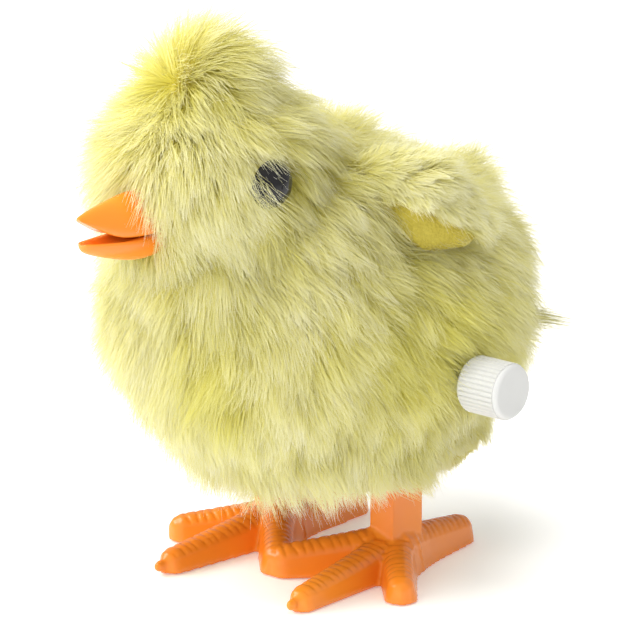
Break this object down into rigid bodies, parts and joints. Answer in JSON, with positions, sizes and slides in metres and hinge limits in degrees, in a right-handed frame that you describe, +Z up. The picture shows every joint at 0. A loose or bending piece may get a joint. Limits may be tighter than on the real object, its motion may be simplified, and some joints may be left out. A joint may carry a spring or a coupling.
{
  "type": "wind-up hopping chick toy",
  "caption": "Plush chick with a wind-up clockwork in its body that rocks a one-piece pair of legs and feet to make it hop.",
  "frame": {"origin": "on the ground, on the centre plane, under the flat sole where the two inner toes are joined", "axes": "+Z up; the chick faces -Y; +X is its left side, where the winding knob is"},
  "size_m": [0.0567, 0.078, 0.0734],
  "materials": {
    "plush": "long soft pile",
    "filling": "matt fibre filling",
    "orange_plastic": "semi-gloss moulded plastic",
    "eye_plastic": "high gloss",
    "knob_plastic": "satin moulded plastic",
    "shell_plastic": "matt moulded plastic",
    "nylon": "natural nylon",
    "steel": "drawn steel"
  },
  "bodies": {
    "chassis": {"plush_cover": "plush", "left_wing": "plush", "right_wing": "plush", "stuffing": "filling", "beak": "orange_plastic", "left_eye": "eye_plastic", "right_eye": "eye_plastic", "beak_washer": "shell_plastic", "eye_washers": "shell_plastic", "housing_cover": "shell_plastic", "housing_base": "shell_plastic", "left_plate": "shell_plastic", "right_plate": "shell_plastic", "housing_screws": "steel", "plate_screws": "steel", "mainspring": "steel", "second_arbor": "steel", "third_arbor": "steel", "leg_pivot_pin": "steel", "pivot_caps": "steel"},
    "winding": {"winding_knob": "knob_plastic", "winding_stem": "steel", "great_wheel": "nylon"},
    "second_gear": {"second_wheel": "nylon"},
    "third_gear": {"third_wheel": "nylon"},
    "crank": {"crank_shaft": "steel", "crank_pinion": "nylon", "left_crank": "shell_plastic", "right_crank": "shell_plastic"},
    "legs": {"feet": "orange_plastic"}
  },
  "joints": [
    {"name": "winding_spin", "type": "hinge", "parent": "chassis", "child": "winding", "pos_m": [0, 0.0098, 0.0277], "axis": [1, 0, 0], "continuous": true},
    {"name": "second_spin", "type": "hinge", "parent": "chassis", "child": "second_gear", "pos_m": [0, 0.0165, 0.03332], "axis": [1, 0, 0], "continuous": true},
    {"name": "third_spin", "type": "hinge", "parent": "chassis", "child": "third_gear", "pos_m": [0, 0.02002, 0.02727], "axis": [1, 0, 0], "continuous": true},
    {"name": "crank_spin", "type": "hinge", "parent": "chassis", "child": "crank", "pos_m": [0, 0.01856, 0.0215], "axis": [1, 0, 0], "continuous": true},
    {"name": "leg_rock", "type": "hinge", "parent": "chassis", "child": "legs", "pos_m": [0, 0.0125, 0.018], "axis": [1, 0, 0], "range_deg": [-8.2, 8.2]}
  ],
  "couplings": [
    {"joint": "second_spin", "follows": "winding_spin", "ratio": -4},
    {"joint": "third_spin", "follows": "winding_spin", "ratio": 12},
    {"joint": "crank_spin", "follows": "winding_spin", "ratio": -28.8}
  ]
}
